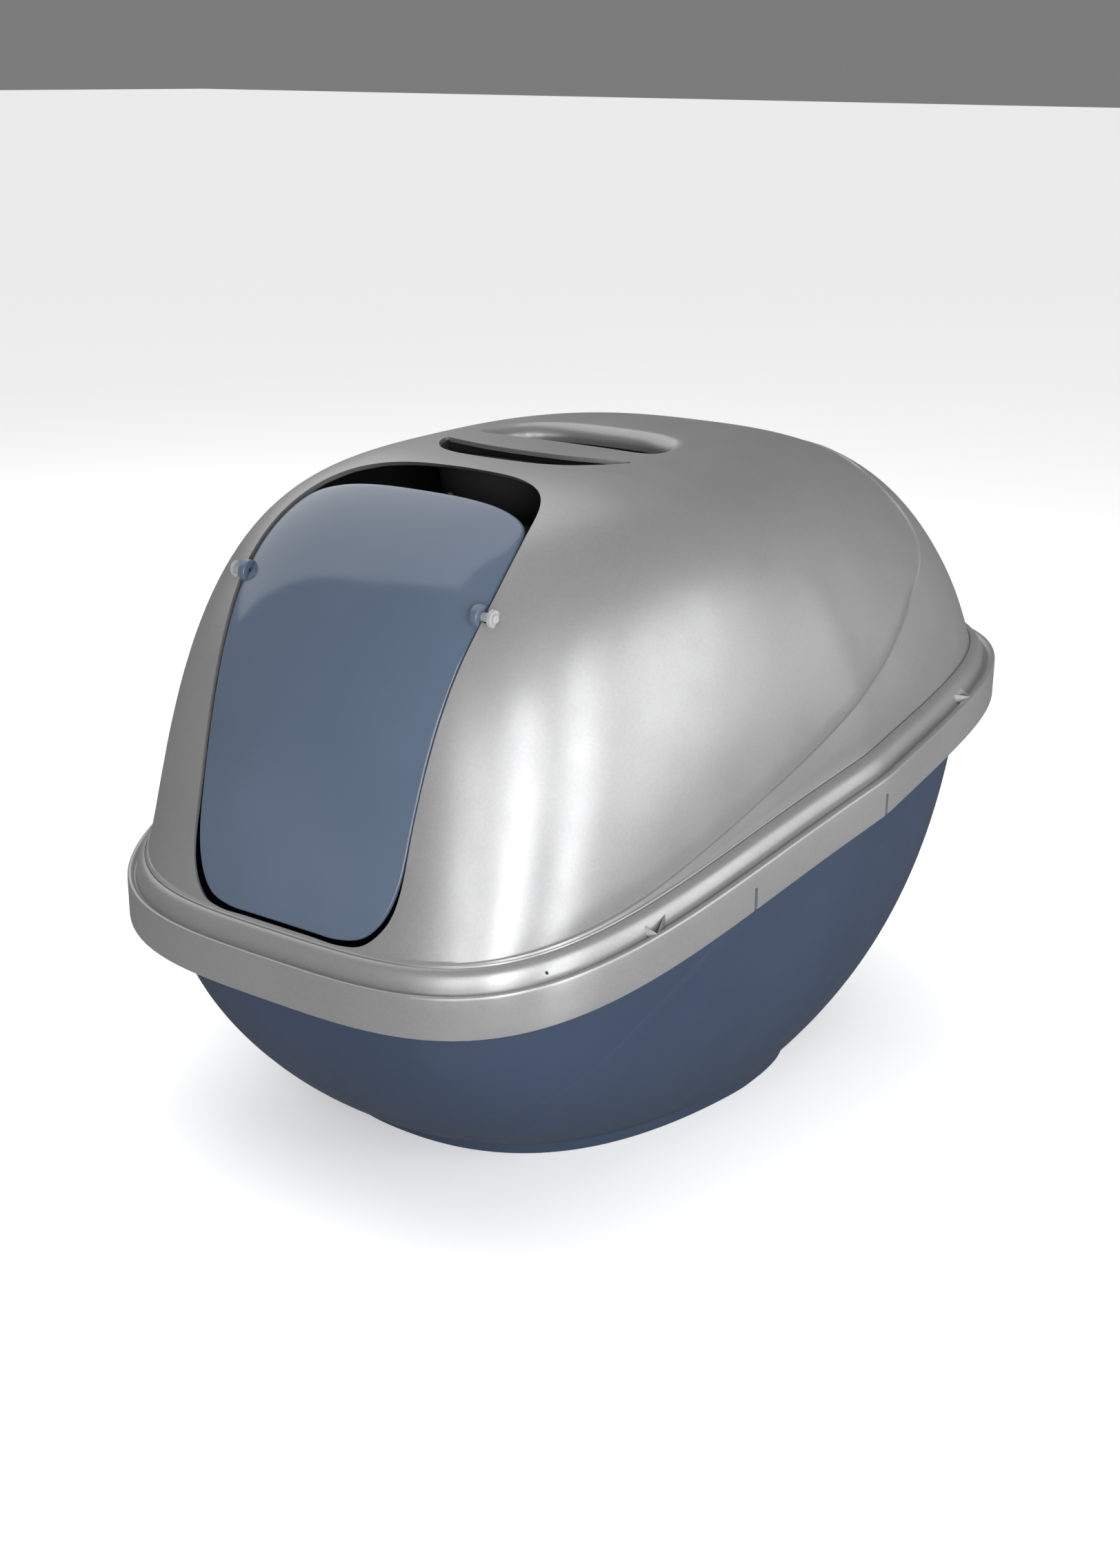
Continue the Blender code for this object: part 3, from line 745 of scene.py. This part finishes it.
def shoulder_point(angle, share, lift):
    """A point of the rim: share of the way in, and lift above the seam in millimetres."""
    x, y = on_plan(blend(SKIRT, DOME_FOOT, share), angle)
    return Vector((x, y, SEAM_HEIGHT + SEAM_SLOPE * y + lift * MM))


WEB_WIDTH = 1.4 * MM
WEB_CREST = 0.2 * MM
WEB_ROOT = 4 * MM


def web(name, start, end, width):
    """A thin upright web from the shoulder down to the top of the skirt."""
    along = (end - start).normalized()
    across = along.cross(UP).normalized() * width / 2
    root = UP * WEB_ROOT
    rings = []
    for point, thick in ((start, 0.5), (start.lerp(end, 0.5), 0.45), (end, 0.25)):
        crest = point + UP * WEB_CREST
        rings.append([
            crest - across * thick, crest + across * thick, point + across - root, point - across - root
        ])
    return piece(name, grow(rings), SILVER)


WEB_ANGLES = (41, 118)       # degrees from the front
WEB_ARMS = (-1.4, 1.1)       # each web is two arms that meet at its tip, this many degrees apart
HOLE_ANGLE = 29
HOLE_RADIUS = 0.8 * MM
HOLE_REACH = 4 * MM
HOLE_SEGMENTS = 20
for side, side_name in ((-1, "left"), (1, "right")):
    for number, angle in enumerate(WEB_ANGLES):
        tip = shoulder_point(side * radians(angle), 0.10, 23.3)
        for arm, turn in enumerate(WEB_ARMS):
            top = shoulder_point(side * radians(angle + turn), 0.52, 27.4)
            hood_parts.append(web(f"gutter_web_{side_name}_{number}_{arm}", top, tip, WEB_WIDTH))
    hole = shoulder_point(side * radians(HOLE_ANGLE), 0.49, 26.4)
    outward = Vector((side * sin(radians(HOLE_ANGLE)), -cos(radians(HOLE_ANGLE)), 1)).normalized()
    across = outward.cross(UP).normalized()
    rise = across.cross(outward)
    rim = [
        hole - outward * HOLE_REACH + (across * cos(turn) + rise * sin(turn)) * HOLE_RADIUS
        for turn in (2 * pi * step / HOLE_SEGMENTS for step in range(HOLE_SEGMENTS))
    ]
    cut(hood, column("shoulder_hole_tool", rim, outward, 2 * HOLE_REACH))

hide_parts("hood")
for part in [hood] + hood_parts:
    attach(part, "hood")

# Flap -------------------------------------------------------------------------------------------
# A thin curved sheet of polystyrene tinted smoke blue, polished and slightly cloudy, so the dark
# inside shows through only as a deep blue. It hangs on two pins and swings both ways.
FLAP_RECESS = 1.2 * MM       # from the dome's surface in to the flap
FLAP_THICKNESS = 2.2 * MM
FLAP_STEPS = 26              # rings from the flap's middle to its edge
FLAP_EDGE_STEPS = 8          # steps around its rounded edge
FLAP_SHARP = 60
FLAP_SHAPE = (
    (0.0, 0.009), (0.25, 0.009), (0.45, 0.010), (0.64, 0.026), (0.77, 0.070), (0.845, 0.140),
    (0.872, 0.25), (0.897, 0.37), (0.932, 0.50), (0.970, 0.62), (0.978, 0.71), (0.948, 0.80),
    (0.87, 0.856), (0.66, 0.886), (0.36, 0.898), (0.0, 0.900),
)
flap_half = [(a * DOOR_HALF_WIDTH, b * DOOR_LENGTH) for a, b in smooth_curve(FLAP_SHAPE, 4)]
flap_outline = [Vector(point) for point in both_sides(flap_half)]
FLAP_MIDDLE = Vector((0, 0.46 * DOOR_LENGTH))


def flap_ring(scale, depth, shrink=0.0):
    """The flap's outline, scaled about its middle or shrunk, laid under the dome's surface."""
    loop = []
    for spot in grown_by(flap_outline, lambda p: -shrink):
        spot = FLAP_MIDDLE + (spot - FLAP_MIDDLE) * scale
        start = SILL + Vector((spot.x, 0, 0)) + DOOR_UP * spot.y
        loop.append(onto_dome(start, DOOR_OUT, depth))
    return loop


flap_rings = [flap_ring(step / FLAP_STEPS, FLAP_RECESS) for step in range(1, FLAP_STEPS)]
for step in range(FLAP_EDGE_STEPS + 1):
    turn = pi * step / FLAP_EDGE_STEPS
    half = FLAP_THICKNESS / 2
    flap_rings.append(flap_ring(1.0, FLAP_RECESS + half - half * cos(turn), half * (1 - sin(turn))))
flap_rings += [
    flap_ring(step / FLAP_STEPS, FLAP_RECESS + FLAP_THICKNESS) for step in range(FLAP_STEPS - 1, 0, -1)
]
LUG_START = 81.2 * MM
LUG_LENGTH = 4.5 * MM
LUG_RADIUS = 6.2 * MM
LUG_GAP = 0.6 * MM           # between the flap's lug and the hood's
LUG_EDGE = 0.7 * MM
EDGE_STEPS = 3


def tinted_polystyrene(name):
    """Polystyrene tinted smoke blue: glassy, a little cloudy, with a pale painted sheen where it is seen
    edge-on.
    """
    made, tree, where = new_material(name)
    haze = add_node(tree, "TexNoise", {"Vector": where, "Scale": 1 / 120, "Detail": 3.0})
    share = add_node(tree, "MapRange", {"Value": haze.outputs["Fac"], "From Min": 0.3, "From Max": 0.7})
    base = add_node(tree, "Mix", {
        MIX_FACTOR: share.outputs["Result"], MIX_FIRST: linear("5f6f85"), MIX_SECOND: linear("69788e"),
    }, data_type="RGBA").outputs[MIX_RESULT]
    # Painted sheen: the colour turns pale grey-blue where the sheet is seen at a grazing angle, standing in
    # for a reflection.
    facing = add_node(tree, "LayerWeight", {"Blend": 0.22})
    edge = add_node(tree, "MapRange", {
        "Value": facing.outputs["Facing"], "From Min": 0.35, "To Max": 0.55,
    })
    base = add_node(tree, "Mix", {
        MIX_FACTOR: edge.outputs["Result"], MIX_FIRST: base, MIX_SECOND: linear("a9b4bf"),
    }, data_type="RGBA").outputs[MIX_RESULT]
    flow = add_node(tree, "TexNoise", {"Vector": where, "Scale": 1 / 45, "Detail": 2.0})
    wave = add_node(tree, "Bump", {"Strength": 0.25, "Distance": 0.5 * MM, "Height": flow.outputs["Fac"]})
    wear = add_node(tree, "TexNoise", {"Vector": where, "Scale": 1 / 18, "Detail": 4.0})
    rough = add_node(tree, "MapRange", {
        "Value": wear.outputs["Fac"], "From Min": 0.3, "From Max": 0.7, "To Min": 0.11, "To Max": 0.18,
    })
    shader = add_node(tree, "BsdfPrincipled", {
        "Base Color": base, "Roughness": rough.outputs["Result"], "IOR": 1.59,
        "Transmission Weight": 0.35, "Coat Weight": 0.12, "Coat Roughness": 0.05,
        "Normal": wave.outputs["Normal"],
    })
    add_node(tree, "OutputMaterial", {"Surface": shader.outputs["BSDF"]})
    return made


SMOKE = tinted_polystyrene("smoke_polystyrene")
flap = piece("flap_sheet", grow(flap_rings), SMOKE, FLAP_SHARP)


def round_rims(bm, size):
    """Rounds the square edges of discs."""
    rims = [edge for edge in bm.edges if len(edge.link_faces) == 2 and edge.calc_face_angle(0) > 1]
    bmesh.ops.bevel(
        bm, geom=rims, offset=size, segments=EDGE_STEPS, profile=0.5, affect="EDGES", material=-1
    )


flap_lugs = bmesh.new()
for side in (-1, 1):
    end = side * (LUG_START - LUG_GAP)
    disc(flap_lugs, LUG_RADIUS, end - side * LUG_LENGTH, end, PIVOT)
bmesh.ops.recalc_face_normals(flap_lugs, faces=flap_lugs.faces)
round_rims(flap_lugs, LUG_EDGE)
lugs = piece("flap_lugs", flap_lugs, SMOKE, SOFT_SHARP)
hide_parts("flap")
for part in (flap, lugs):
    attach(part, "flap")

# Pins -------------------------------------------------------------------------------------------
# Two small clear polystyrene pins, pushed through the hood's wall from outside into the flap's
# lugs. Each has a round head with a moulded ring on it.
PIN_RADIUS = 2.5 * MM
PIN_HEAD_RADIUS = 4.8 * MM
PIN_HEAD = 2.2 * MM
PIN_RING_RADIUS = 2.6 * MM
PIN_RING = 1.2 * MM          # how far the ring stands proud of the head
PIN_EDGE = 0.35 * MM


def clear_polystyrene(name):
    """Water-clear polystyrene with a trace of haze from the mould."""
    made, tree, where = new_material(name)
    haze = add_node(tree, "TexNoise", {"Vector": where, "Scale": 1 / 3, "Detail": 3.0}).outputs["Fac"]
    base = add_node(tree, "Mix", {
        MIX_FACTOR: haze, MIX_FIRST: linear("dfe3e6"), MIX_SECOND: linear("f2f4f5"),
    }, data_type="RGBA").outputs[MIX_RESULT]
    rough = add_node(tree, "MapRange", {"Value": haze, "To Min": 0.08, "To Max": 0.2})
    shader = add_node(tree, "BsdfPrincipled", {
        "Base Color": base, "Roughness": rough.outputs["Result"], "IOR": 1.59, "Transmission Weight": 0.7,
    })
    add_node(tree, "OutputMaterial", {"Surface": shader.outputs["BSDF"]})
    return made


CLEAR = clear_polystyrene("clear_polystyrene")
for side, node in ((-1, "flap_pin_left"), (1, "flap_pin_right")):
    head = side * (LUG_START + LUG_LENGTH)
    pin_bm = bmesh.new()
    disc(pin_bm, PIN_RADIUS, side * (LUG_START - LUG_GAP - LUG_LENGTH), head, PIVOT)
    disc(pin_bm, PIN_HEAD_RADIUS, head, head + side * PIN_HEAD, PIVOT, taper=0.92)
    ring_foot = head + side * (PIN_HEAD - 0.2 * MM)
    disc(pin_bm, PIN_RING_RADIUS, ring_foot, head + side * (PIN_HEAD + PIN_RING), PIVOT, taper=0.8)
    round_rims(pin_bm, PIN_EDGE)
    pin = piece(node.replace("flap_", "") + "_clear", pin_bm, CLEAR, SOFT_SHARP)
    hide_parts(node)
    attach(pin, "flap")

# Filter -----------------------------------------------------------------------------------------
# A slotted polypropylene cup clips under the bowl and holds a pad of open-cell foam loaded with
# carbon, which lies loose in it.
SATIN_GREY = moulded_polypropylene("satin_grey_polypropylene", "8e8d8f", "868587", 0.45, 0.35)
holder = frame["nodes"]["filter_holder"]
holder.data.materials.clear()
holder.data.materials.append(SATIN_GREY)


CELL_SIZE = 1.2


def carbon_foam(name):
    """Open-cell foam: matt black, with pits where the cells are cut open, and painted shade darkening the
    pits.
    """
    made, tree, where = new_material(name)
    cells = add_node(tree, "TexVoronoi", {"Vector": where, "Scale": 1 / CELL_SIZE}).outputs["Distance"]
    pits = add_node(tree, "Bump", {"Strength": 0.9, "Distance": 0.6 * MM, "Height": cells})
    # Painted shade: the colour is darkest at each cell's middle, down in its pit, and lighter on the cell
    # walls.
    share = add_node(tree, "MapRange", {"Value": cells, "From Min": 0.1, "From Max": 0.6})
    base = add_node(tree, "Mix", {
        MIX_FACTOR: share.outputs["Result"], MIX_FIRST: linear("0d0d0e"), MIX_SECOND: linear("2b2b2d"),
    }, data_type="RGBA").outputs[MIX_RESULT]
    rough = add_node(tree, "MapRange", {"Value": cells, "To Min": 0.85, "To Max": 0.98})
    shader = add_node(tree, "BsdfPrincipled", {
        "Base Color": base, "Roughness": rough.outputs["Result"], "Normal": pits.outputs["Normal"],
    })
    add_node(tree, "OutputMaterial", {"Surface": shader.outputs["BSDF"]})
    return made


FOAM = carbon_foam("carbon_foam")
pad_low, pad_high = (Vector(corner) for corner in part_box("filter_pad"))
PAD_PLAN = Plan(pad_high.x, -pad_low.y, pad_high.y, 0, 2.3, 2.3, 0)
PAD_ROUND = 1.5 * MM
PAD_STEPS = 8                # steps around its rounded edge
PAD_SHARP = 60
pad_rings = []
for step in range(PAD_STEPS + 1):
    turn = pi * step / PAD_STEPS
    if step < PAD_STEPS / 2:
        height = pad_low.z + PAD_ROUND * (1 - cos(turn))
    else:
        height = pad_high.z - PAD_ROUND * (1 + cos(turn))
    pad_rings.append(ring(inset(PAD_PLAN, PAD_ROUND * (1 - sin(turn))), level(height)))
pad = piece("carbon_pad", grow(pad_rings), FOAM, PAD_SHARP)
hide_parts("filter_pad")
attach(pad, "filter")

# Stage ------------------------------------------------------------------------------------------
# A plain pale floor that glows a little and isn't mirrored in the plastic, a soft light overhead,
# a fill from the front, tall strips at the right front corner, and a camera.
FLOOR_SIZE = 30
floor_bm = bmesh.new()
bmesh.ops.create_grid(floor_bm, x_segments=1, y_segments=1, size=FLOOR_SIZE)
floor_finish, floor_tree, _ = new_material("pale_floor")
floor_shader = add_node(floor_tree, "BsdfPrincipled", {
    "Base Color": linear("f4f4f4"), "Roughness": 0.8, "IOR": 1.3,
    "Emission Color": linear("ffffff"), "Emission Strength": 0.38,
})
add_node(floor_tree, "OutputMaterial", {"Surface": floor_shader.outputs["BSDF"]})
floor = piece("pale_floor", floor_bm, floor_finish)
floor.visible_glossy = False

world = bpy.data.worlds.new("studio")
world.use_nodes = True
backdrop = world.node_tree.nodes["Background"]
backdrop.inputs["Color"].default_value = linear("ffffff")
backdrop.inputs["Strength"].default_value = 0.20
bpy.context.scene.world = world

bpy.context.scene.view_settings.view_transform = "Standard"
TARGET = Vector((0, 0, 0.18))


def soft_light(name, direction, distance, width, height, power):
    """A rectangular light that faces the box from a direction; its power is in watts."""
    data = bpy.data.lights.new(name, "AREA")
    data.shape = "RECTANGLE"
    data.size = width
    data.size_y = height
    data.energy = power
    lamp = bpy.data.objects.new(name, data)
    way = Vector(direction).normalized()
    lamp.location = TARGET + way * distance
    lamp.rotation_euler = way.to_track_quat("Z", "Y").to_euler()
    bpy.context.collection.objects.link(lamp)


soft_light("overhead", (-0.60, 0.12, 0.80), 1.5, 2.0, 2.0, 12)
soft_light("right_strip", (0.955, -0.28, 0.14), 1.5, 0.26, 1.4, 9)
soft_light("right_fill", (0.94, 0.34, 0.20), 1.9, 1.1, 1.3, 11)
soft_light("corner_strip", (0.69, -0.71, 0.15), 1.8, 0.45, 1.2, 14)
soft_light("front_fill", (0.30, -0.94, 0.12), 2.1, 0.8, 1.2, 9)
sun = bpy.data.objects.new("ceiling", bpy.data.lights.new("ceiling", "SUN"))
sun.data.energy = 1.0
sun.data.angle = radians(60)
sun.visible_glossy = False
bpy.context.collection.objects.link(sun)

CAMERA_AZIMUTH = 35.11
CAMERA_ELEVATION = 19.19
CAMERA_DISTANCE = 1.2432
CAMERA_TILT = 0.0094         # radians
camera_data = bpy.data.cameras.new("camera")
camera_data.lens = 46.73
camera_data.sensor_width = 36
camera_data.shift_x = -0.0008
camera_data.shift_y = -0.0093
camera = bpy.data.objects.new("camera", camera_data)
azimuth, elevation = radians(CAMERA_AZIMUTH), radians(CAMERA_ELEVATION)
toward = Vector((sin(azimuth) * cos(elevation), -cos(azimuth) * cos(elevation), sin(elevation)))
camera.location = TARGET + toward * CAMERA_DISTANCE
tilt = Matrix.Rotation(CAMERA_TILT, 4, "Z")
camera.rotation_euler = (toward.to_track_quat("Z", "Y").to_matrix().to_4x4() @ tilt).to_euler()
bpy.context.collection.objects.link(camera)
bpy.context.scene.camera = camera
